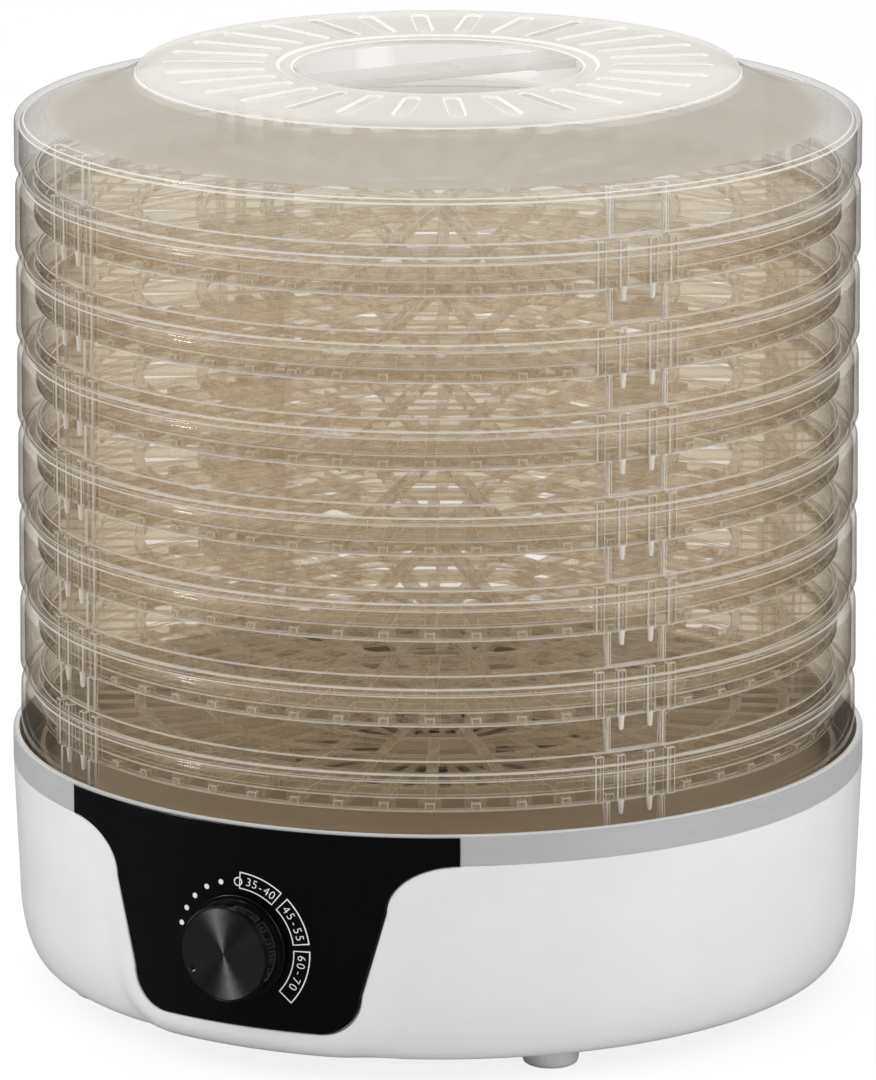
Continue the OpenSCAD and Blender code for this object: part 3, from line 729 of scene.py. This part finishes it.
def make_knob():
    low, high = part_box("knob")
    back, front = -high.y, -low.y
    half = (high.x - low.x) / 2 - 1.8 * MM
    flange = half + 1.8 * MM
    outline = [(half - 8 * MM, back), (flange - 0.3 * MM, back), (flange, back + 0.3 * MM)]
    outline += arc((flange - 0.5 * MM, back + 0.8 * MM), (0.5 * MM, 0.5 * MM), 0, 90, 4)
    outline += [(half + 0.4 * MM, back + 1.4 * MM), (half, back + 1.9 * MM)]
    outline += arc((half - 0.35 * MM, front - 1.1 * MM), (0.35 * MM, 0.35 * MM), 0, 50, 3)
    outline += [(half - 0.55 * MM, front - 0.25 * MM)]
    outline += arc((half - 0.72 * MM, front - 0.2 * MM), (0.18 * MM, 0.2 * MM), 10, 120, 4)
    outline += [(half - 0.95 * MM, front - 0.3 * MM), (half - 0.95 * MM, front - 1.6 * MM),
                (half - 8 * MM, front - 1.6 * MM)]
    bm = bmesh.new()
    add_lathe(bm, outline, 192)
    towards_front(bm)
    knob = object_from(bm, "knob_body", [black_side], 30)
    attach(knob, "dial")
    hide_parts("knob")


# ------------------------------------------------------------------------- trays

TRAY_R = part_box("tray_7")[1].x
FOOT = -16.9 * MM               # the skirt's foot, from the floor's underside
FLOOR_Z = {name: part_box(name)[0].z - FOOT for name in TRAYS}
WALL = 1.8 * MM
LIP_R = TRAY_R - 7.2 * MM
LIP_H = 19 * MM
TAB_H = 12.4 * MM               # how far a spacer tab reaches down
TAB_HALF = 11.2 * MM            # its half width at the foot
RIBS = 56
BAR = 4.2 * MM                  # width of the bars between a floor's openings
BAND_IN = 145.6 * MM            # inner radius of the thick band round the floor
RIM_STEPS = 224                 # points round the floor's rim
POSTS = (-35, 55, 145, 235)     # places of the posts, in degrees
PEG_OFF = 2.25                  # a peg's place beside the post's middle, in degrees
PEG_TIP = -4.5 * MM


def wall_outline():
    """Closed outline of a tray's wall: rounded lip, shoulder, and skirt over the tray below."""
    skirt_in = TRAY_R - WALL
    foot_r = TRAY_R - 2.4 * MM
    inside = LIP_R - WALL
    points = [(inside, 0), (LIP_R, 0), (LIP_R, 12.2 * MM), (skirt_in - 2.2 * MM, 12.2 * MM),
              (skirt_in - 0.6 * MM, 10.6 * MM), (skirt_in, 8.6 * MM), (skirt_in, -10.4 * MM),
              (foot_r - WALL + 0.2 * MM, FOOT),
              (foot_r, FOOT), (TRAY_R, -10.9 * MM), (TRAY_R - 0.2 * MM, 8.4 * MM)]
    points += arc((TRAY_R - 3.4 * MM, 10.6 * MM), (3.2 * MM, 3.4 * MM), 12, 90, 8)
    points += [(LIP_R, 14 * MM), (LIP_R, LIP_H), (inside, LIP_H)]
    return points


# rings of openings in a tray's floor: inner and outer radius in mm, and how many
OPENINGS = ((132, 146.4, 56), (114, 128.4, 56), (90, 110.4, 28), (66, 86.4, 28), (40, 62.4, 14),
            (14, 36.4, 14))


def add_grille(bm):
    """The floor's plate with its rings of openings, cut out of one flat triangulation."""
    plane, edges = [], []
    rim = [ring_point(BAND_IN + 0.9 * MM, 360 * k / RIM_STEPS) for k in range(RIM_STEPS)]
    plane += [Vector(p) for p in rim]
    edges += [(k, (k + 1) % RIM_STEPS) for k in range(RIM_STEPS)]
    for inner, outer, count in OPENINGS:
        inner, outer = inner * MM, min(outer * MM, BAND_IN + 0.2 * MM)
        for i in range(count):
            middle = (i + 0.5) * 360 / count
            a = 180 / count - math.degrees(BAR / 2 / inner)
            b = 180 / count - math.degrees(BAR / 2 / outer)
            pieces = max(1, round(6 * 14 / count))
            near = 1 if inner < 20 * MM else pieces
            hole = [ring_point(inner, middle - a + 2 * a * k / near) for k in range(near + 1)]
            hole += [ring_point(outer, middle + b - 2 * b * k / pieces) for k in range(pieces + 1)]
            first = len(plane)
            plane += [Vector(p) for p in hole]
            edges += [(first + k, first + (k + 1) % len(hole)) for k in range(len(hole))]
    flat, _, faces, _, _, _ = geometry.delaunay_2d_cdt(plane, edges, [], 0, 1e-7)

    def is_open(point):
        radius, angle = point.length, math.degrees(math.atan2(point.y, point.x)) % 360
        for inner, outer, count in OPENINGS:
            if inner * MM - 0.2 * MM < radius < outer * MM:
                off = (angle % (360 / count)) - 180 / count
                return radius > inner * MM * math.cos(math.radians(180 / count)) and \
                    abs(off) < 180 / count - math.degrees(BAR / 2 / radius)
        return False

    verts = [bm.verts.new((p.x, p.y, 0.6 * MM)) for p in flat]
    made = []
    for face in faces:
        if not is_open(sum((flat[k] for k in face), Vector((0, 0))) / 3):
            made.append(bm.faces.new([verts[k] for k in face]))
            made[-1].material_index = GRILLE
    top = bmesh.ops.extrude_face_region(bm, geom=made)["geom"]
    lifted = [g for g in top if isinstance(g, bmesh.types.BMVert)]
    bmesh.ops.translate(bm, verts=lifted, vec=(0, 0, 3.6 * MM))
    loose = [v for v in bm.verts if not v.link_faces]
    bmesh.ops.delete(bm, geom=loose, context="VERTS")


def add_tab(bm, angle, length, top):
    """Spacer tab: a curved plate with a fin along each side, narrower at its foot."""
    outer, inner = LIP_R - 0.1 * MM, LIP_R - WALL + 0.1 * MM
    steps = 8
    front = []
    for z, half in ((-length, TAB_HALF), (top, TAB_HALF + 1 * MM)):
        row = [math.degrees(half / LIP_R) * (2 * k / steps - 1) for k in range(steps + 1)]
        front.append([[(*ring_point(r, angle + a), z) for a in row] for r in (outer, inner)])
    (low_out, low_in), (top_out, top_in) = [[[bm.verts.new(p) for p in line] for line in pair]
                                            for pair in front]
    for k in range(steps):
        bm.faces.new((low_out[k], low_out[k + 1], top_out[k + 1], top_out[k])).material_index = POST
        bm.faces.new((low_in[k + 1], low_in[k], top_in[k], top_in[k + 1])).material_index = POST
        bm.faces.new((low_in[k], low_in[k + 1], low_out[k + 1], low_out[k]))
        bm.faces.new((top_out[k], top_out[k + 1], top_in[k + 1], top_in[k]))
    for k in (0, steps):
        bm.faces.new((low_in[k], low_out[k], top_out[k], top_in[k]))
    reach = math.degrees(TAB_HALF / LIP_R)
    for side in (-1, 1):
        add_block(bm, (LIP_R - 0.9 * MM, -0.7 * MM, -length), (LIP_R + 2.6 * MM, 0.7 * MM, top),
                  angle + side * reach)


def add_peg(bm, angle, tip, root):
    """A small tapered locating peg with a rounded tip."""
    middle = ring_point(LIP_R + 1.4 * MM, angle)
    outline = [(0, tip), (0.45 * MM, tip + 0.1 * MM), (0.8 * MM, tip + 0.5 * MM),
               (1.2 * MM, root), (0, root)]
    rings = []
    for radius, z in outline:
        rings.append([bm.verts.new((middle[0] + radius * math.cos(k * math.pi / 8),
                                    middle[1] + radius * math.sin(k * math.pi / 8), z))
                      for k in range(16)] if radius else [bm.verts.new((*middle, z))])
    for low, high in zip(rings, rings[1:]):
        for k in range(16):
            j = (k + 1) % 16
            quad = [low[k % len(low)], low[j % len(low)], high[j % len(high)], high[k % len(high)]]
            bm.faces.new(list(dict.fromkeys(quad)))


def joined(name, *parts):
    """One object with the meshes of several, which are removed."""
    bm = bmesh.new()
    for part in parts:
        bm.from_mesh(part.data)
        bpy.data.objects.remove(part)
    mesh = bpy.data.meshes.new(name)
    bm.to_mesh(mesh)
    bm.free()
    obj = bpy.data.objects.new(name, mesh)
    scene.collection.objects.link(obj)
    dress(obj, *TRAY_PLASTICS)
    return obj


def make_tray_floor():
    bm = bmesh.new()
    add_grille(bm)
    # the bevel's faces take the grille's painted highlight
    return soften(object_from(bm, "tray_floor", TRAY_PLASTICS, 35), 0.25 * MM, material=PAINTED_GRILLE_HIGHLIGHT)


def make_tray_wall():
    bm = bmesh.new()
    add_lathe(bm, wall_outline())
    add_lathe(bm, [(BAND_IN, 0), (LIP_R - 0.05 * MM, 0), (LIP_R - 0.05 * MM, 5.6 * MM), (BAND_IN, 5.6 * MM)])
    for k in range(RIBS):
        add_block(bm, (BAND_IN + 0.9 * MM, -1.8 * MM, 0.5 * MM), (LIP_R - 0.4 * MM, 1.8 * MM, 3.3 * MM),
                  360 * k / RIBS, GRILLE)
    for post in POSTS:
        add_tab(bm, post, TAB_H, 1 * MM)
        for off in (-5.6, -2.3, 2.3, 5.6):
            add_block(bm, (LIP_R - 0.6 * MM, -1.7 * MM, 0.6 * MM), (LIP_R + 2.4 * MM, 1.7 * MM, 18.2 * MM),
                      post + off, POST)
    # the bevel's faces take the painted edge highlight
    return soften(object_from(bm, "tray_wall", TRAY_PLASTICS, 35), 0.45 * MM, material=PAINTED_EDGE_HIGHLIGHT)


def make_tray_pegs():
    bm = bmesh.new()
    for post in POSTS:
        for off in (-PEG_OFF, PEG_OFF):
            add_peg(bm, post + off, PEG_TIP, 1.3 * MM)
    # the pegs are wholly in the painted edge highlight
    for face in bm.faces:
        face.material_index = PAINTED_EDGE_HIGHLIGHT
    return object_from(bm, "tray_pegs", TRAY_PLASTICS, 35)


def make_trays():
    """One detailed tray, used seven times, each riding on its own body."""
    tray = joined(TRAYS[0] + "_moulding", make_tray_wall(), make_tray_floor(), make_tray_pegs())
    for name in TRAYS:
        copy = tray if name == TRAYS[0] else tray.copy()
        if copy is not tray:
            copy.name = name + "_moulding"
            scene.collection.objects.link(copy)
        copy.location = (0, 0, FLOOR_Z[name])
        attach(copy, name)
        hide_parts(name)


# --------------------------------------------------------------------------- lid

LID_TOP = 24.2 * MM             # heights from the plane where an eighth tray's floor would be
LID_RIM = 6.6 * MM
LID_BASE = LID_HIGH.z - LID_TOP
RING_R = 112 * MM               # the flat vent ring, and the plain borders of its vents
VENT_ZONE = (62 * MM, 105 * MM)
PLATE = 2.4 * MM
GROOVE = 0.8 * MM
VENTS = 30                      # every fifth is a slot right through, the others are grooves
WELL_R = 53.5 * MM
WELL_DEPTH = 14 * MM
LID_SEGMENTS = 240
LEDGE_R = 146 * MM              # where the slope meets the ledge over the skirt
VENT_BAR = (65 * MM, 101.5 * MM)        # ends of a vent, as radii


def lid_outside():
    """The lid's outline from the vents' outer border down the slope, round the skirt and back."""
    skirt_in, foot = TRAY_R - WALL, TRAY_R - 2.4 * MM
    slope = []
    for k in range(1, 10):
        u = k / 10
        sag = 1.6 * MM * math.sin(math.pi * u)
        slope.append((LEDGE_R - 33 * MM * u, LID_RIM + (LID_TOP - 3 * MM - LID_RIM) * u - sag))
    points = [(VENT_ZONE[1], LID_TOP)]
    points += arc((RING_R - 2.4 * MM, LID_TOP - 2.4 * MM), (2.4 * MM, 2.4 * MM), 90, 0, 5)
    points += slope[::-1] + [(LEDGE_R, LID_RIM)]
    points += arc((TRAY_R - 2.6 * MM, 4 * MM), (2.6 * MM, 2.6 * MM), 90, 0, 5)
    points += [(TRAY_R, -10.9 * MM), (foot, FOOT), (foot - WALL + 0.4 * MM, FOOT),
               (skirt_in, -10.4 * MM), (skirt_in, LID_RIM - WALL - 1.6 * MM),
               (skirt_in - 1.6 * MM, LID_RIM - WALL), (LEDGE_R, LID_RIM - WALL)]
    points += [(r - 0.6 * MM, z - WALL) for r, z in slope]
    return points + [(RING_R - 4.4 * MM, LID_TOP - PLATE), (VENT_ZONE[1], LID_TOP - PLATE)]


def lid_inside():
    """The outline from the vents' inner border into the finger well and back underneath."""
    floor = LID_TOP - WELL_DEPTH
    return [(VENT_ZONE[0], LID_TOP), (WELL_R + 6 * MM, LID_TOP), (WELL_R + 5.6 * MM, LID_TOP - 0.7 * MM),
            (WELL_R + 0.6 * MM, LID_TOP - 0.7 * MM), (WELL_R, LID_TOP - 1.3 * MM),
            (WELL_R - 1 * MM, floor + 2 * MM), (WELL_R - 3 * MM, floor), (0, floor),
            (0, floor - WALL), (WELL_R - 2.6 * MM, floor - WALL), (WELL_R + 0.8 * MM, floor + 1.6 * MM),
            (WELL_R + 1.8 * MM, LID_TOP - 2.6 * MM), (VENT_ZONE[0], LID_TOP - PLATE)]


def vent_outline(i):
    """Plan of vent i: a long bar with round ends, lying outwards."""
    half = (2.2 if i % 5 == 0 else 3) * MM
    points = arc((VENT_BAR[1] - half, 0), (half, half), -90, 90, 8)
    points += arc((VENT_BAR[0] + half, 0), (half, half), 90, 270, 8)
    turn = POSTS[1] - 30 + i * 360 / VENTS
    return [(p.x, p.y) for p in turned([(x, y, 0) for x, y in points], turn)]


def add_vent_face(bm, z, vents):
    """One face of the vent ring at height z, open at the vents given."""
    plane, edges = [], []
    rims = [[ring_point(r, 360 * k / LID_SEGMENTS) for k in range(LID_SEGMENTS)] for r in VENT_ZONE]
    loops = rims + [vent_outline(i) for i in vents]
    for loop in loops:
        first, count = len(plane), len(loop)
        plane += [Vector(p) for p in loop]
        edges += [(first + k, first + (k + 1) % count) for k in range(count)]
    flat, _, faces, _, _, _ = geometry.delaunay_2d_cdt(plane, edges, [], 0, 1e-7)
    verts = [bm.verts.new((p.x, p.y, z)) for p in flat]
    for face in faces:
        centre = sum((flat[k] for k in face), Vector((0, 0))) / 3
        if VENT_ZONE[0] < centre.length < VENT_ZONE[1] * math.cos(math.pi / LID_SEGMENTS) and \
                all(distance_outside(*centre, loop) > 0 for loop in loops[2:]):
            bm.faces.new([verts[k] for k in face])
    bmesh.ops.delete(bm, geom=[v for v in verts if not v.link_faces], context="VERTS")


def make_lid():
    bm = bmesh.new()
    add_lathe(bm, lid_outside(), LID_SEGMENTS, closed=False)
    add_lathe(bm, lid_inside(), LID_SEGMENTS, closed=False)
    slots = [i for i in range(VENTS) if i % 5 == 0]
    add_vent_face(bm, LID_TOP, range(VENTS))
    add_vent_face(bm, LID_TOP - PLATE, slots)
    for i in range(VENTS):
        depth = PLATE if i in slots else GROOVE
        top, low = [[bm.verts.new((x, y, z)) for x, y in vent_outline(i)]
                    for z in (LID_TOP, LID_TOP - depth)]
        for k in range(len(top)):
            j = (k + 1) % len(top)
            bm.faces.new((top[k], top[j], low[j], low[k]))
        if i not in slots:
            bm.faces.new(low)
    bmesh.ops.remove_doubles(bm, verts=bm.verts, dist=0.000002)
    for post in POSTS:
        add_tab(bm, post, TAB_H, 6 * MM)
        for off in (-PEG_OFF, PEG_OFF):
            add_peg(bm, post + off, PEG_TIP, 5 * MM)
    bmesh.ops.translate(bm, verts=bm.verts, vec=(0, 0, LID_BASE))
    lid = object_from(bm, "lid_moulding", [clear_lid, painted_edge_highlight], 35)
    for face in lid.data.polygons:      # add_tab marks its plates by the trays' list of plastics
        face.material_index = 0
    # the bevel's faces take the painted edge highlight
    soften(lid, 0.4 * MM, material=1)
    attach(lid, "lid")
    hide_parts("lid")


make_housing()
make_panel()
make_lid()
make_print()
make_knob()
make_trays()


# ------------------------------------------------------------- camera and light

AZIMUTH = math.radians(26.85)
ELEVATION = math.radians(14.22)
DISTANCE = 3.166
TARGET = Vector((0, 0, 0.150))


def direction(azimuth, elevation):
    """Unit vector from the object towards azimuth, measured from -Y towards +X."""
    return Vector((math.sin(azimuth) * math.cos(elevation),
                   -math.cos(azimuth) * math.cos(elevation), math.sin(elevation)))


def aim(obj, place, target):
    obj.location = place
    obj.rotation_euler = (Vector(target) - Vector(place)).to_track_quat("-Z", "Y").to_euler()
    scene.collection.objects.link(obj)


def make_camera():
    data = bpy.data.cameras.new("camera")
    data.sensor_width = 36
    data.lens = 281.03
    data.shift_y = 0.03605
    data.clip_end = 20
    camera = bpy.data.objects.new("camera", data)
    aim(camera, TARGET + direction(AZIMUTH, ELEVATION) * DISTANCE, TARGET)
    scene.camera = camera


def softbox(name, azimuth, elevation, distance, size, power):
    """A rectangular lamp aimed at the object: degrees, metres and watts."""
    data = bpy.data.lights.new(name, "AREA")
    data.shape = "RECTANGLE"
    data.size, data.size_y = size
    data.energy = power
    lamp = bpy.data.objects.new(name, data)
    target = Vector((0, 0, 0.17))
    aim(lamp, target + direction(math.radians(azimuth), math.radians(elevation)) * distance, target)
    return lamp


def make_world():
    """White surroundings, dimmer in front; in reflections the front is dark.

    The front is a fixed direction, so it stays in place in every view.
    """
    world = bpy.data.worlds.new("studio")
    world.use_nodes = True
    tree = world.node_tree

    def ranged(value, start, end, low, high):
        """Maps value from start..end to low..high."""
        node = tree.nodes.new("ShaderNodeMapRange")
        for name, number in (("From Min", start), ("From Max", end), ("To Min", low), ("To Max", high)):
            node.inputs[name].default_value = number
        tree.links.new(value, node.inputs["Value"])
        return node

    path = tree.nodes.new("ShaderNodeLightPath")
    place = tree.nodes.new("ShaderNodeTexCoord")
    front = tree.nodes.new("ShaderNodeVectorMath")
    front.operation = "DOT_PRODUCT"
    tree.links.new(place.outputs["Generated"], front.inputs[0])
    front.inputs[1].default_value = direction(AZIMUTH, 0)
    mirrored = ranged(front.outputs["Value"], -0.9, -0.2, 0.66, 0.012)
    around = ranged(front.outputs["Value"], -0.2, 0.9, 1.1, 0.6)
    seen = ranged(path.outputs["Is Camera Ray"], 0, 1, 1, 1)
    # the camera sees 1, other rays see what is linked in place of the low and high values
    tree.links.new(around.outputs[0], seen.inputs["To Min"])
    strength = ranged(path.outputs["Is Glossy Ray"], 0, 1, 1, 0)
    tree.links.new(seen.outputs[0], strength.inputs["To Min"])
    tree.links.new(mirrored.outputs[0], strength.inputs["To Max"])
    tree.links.new(strength.outputs[0], tree.nodes["Background"].inputs["Strength"])
    tree.nodes["Background"].inputs["Color"].default_value = (1, 1, 1, 1)
    world.cycles.sampling_method = "NONE"
    scene.world = world


def make_floor():
    bpy.ops.mesh.primitive_plane_add(size=12)
    floor = bpy.context.object
    floor.name = "floor"
    n = Nodes("studio_floor")
    shade = n.blend(n.spread(n.noise(3, 2), 0, 1), (0.985, 0.985, 0.985), (1, 1, 1))
    glow = n.add("ShaderNodeEmission")
    n.link(shade, glow.inputs["Color"])
    matt = n.principled(shade, 0.6, Specular_IOR_Level=0.2)
    dark = n.principled((0.03, 0.03, 0.03), 0.6)
    path = n.add("ShaderNodeLightPath").outputs
    mirrored = n.mix_shader(path["Is Glossy Ray"], matt, dark)
    seen = n.math("MULTIPLY", path["Is Camera Ray"], 0.85)
    dress(floor, n.finish(n.mix_shader(seen, mirrored, glow.outputs[0])))


make_camera()
make_world()
make_floor()
softbox("key", -52, 38, 1.8, (0.9, 1.2), 8)
softbox("glint", -49, 30, 1.8, (0.2, 0.2), 2.5)
softbox("fill", 85, 30, 1.8, (0.8, 1.4), 9)
softbox("top", 200, 78, 1.6, (1.4, 1.4), 8)

scene.view_settings.view_transform = "Standard"
scene.cycles.max_bounces = 4
scene.cycles.transparent_max_bounces = 96
scene.cycles.glossy_bounces = 2
scene.cycles.diffuse_bounces = 2
scene.cycles.caustics_refractive = False
scene.cycles.caustics_reflective = False
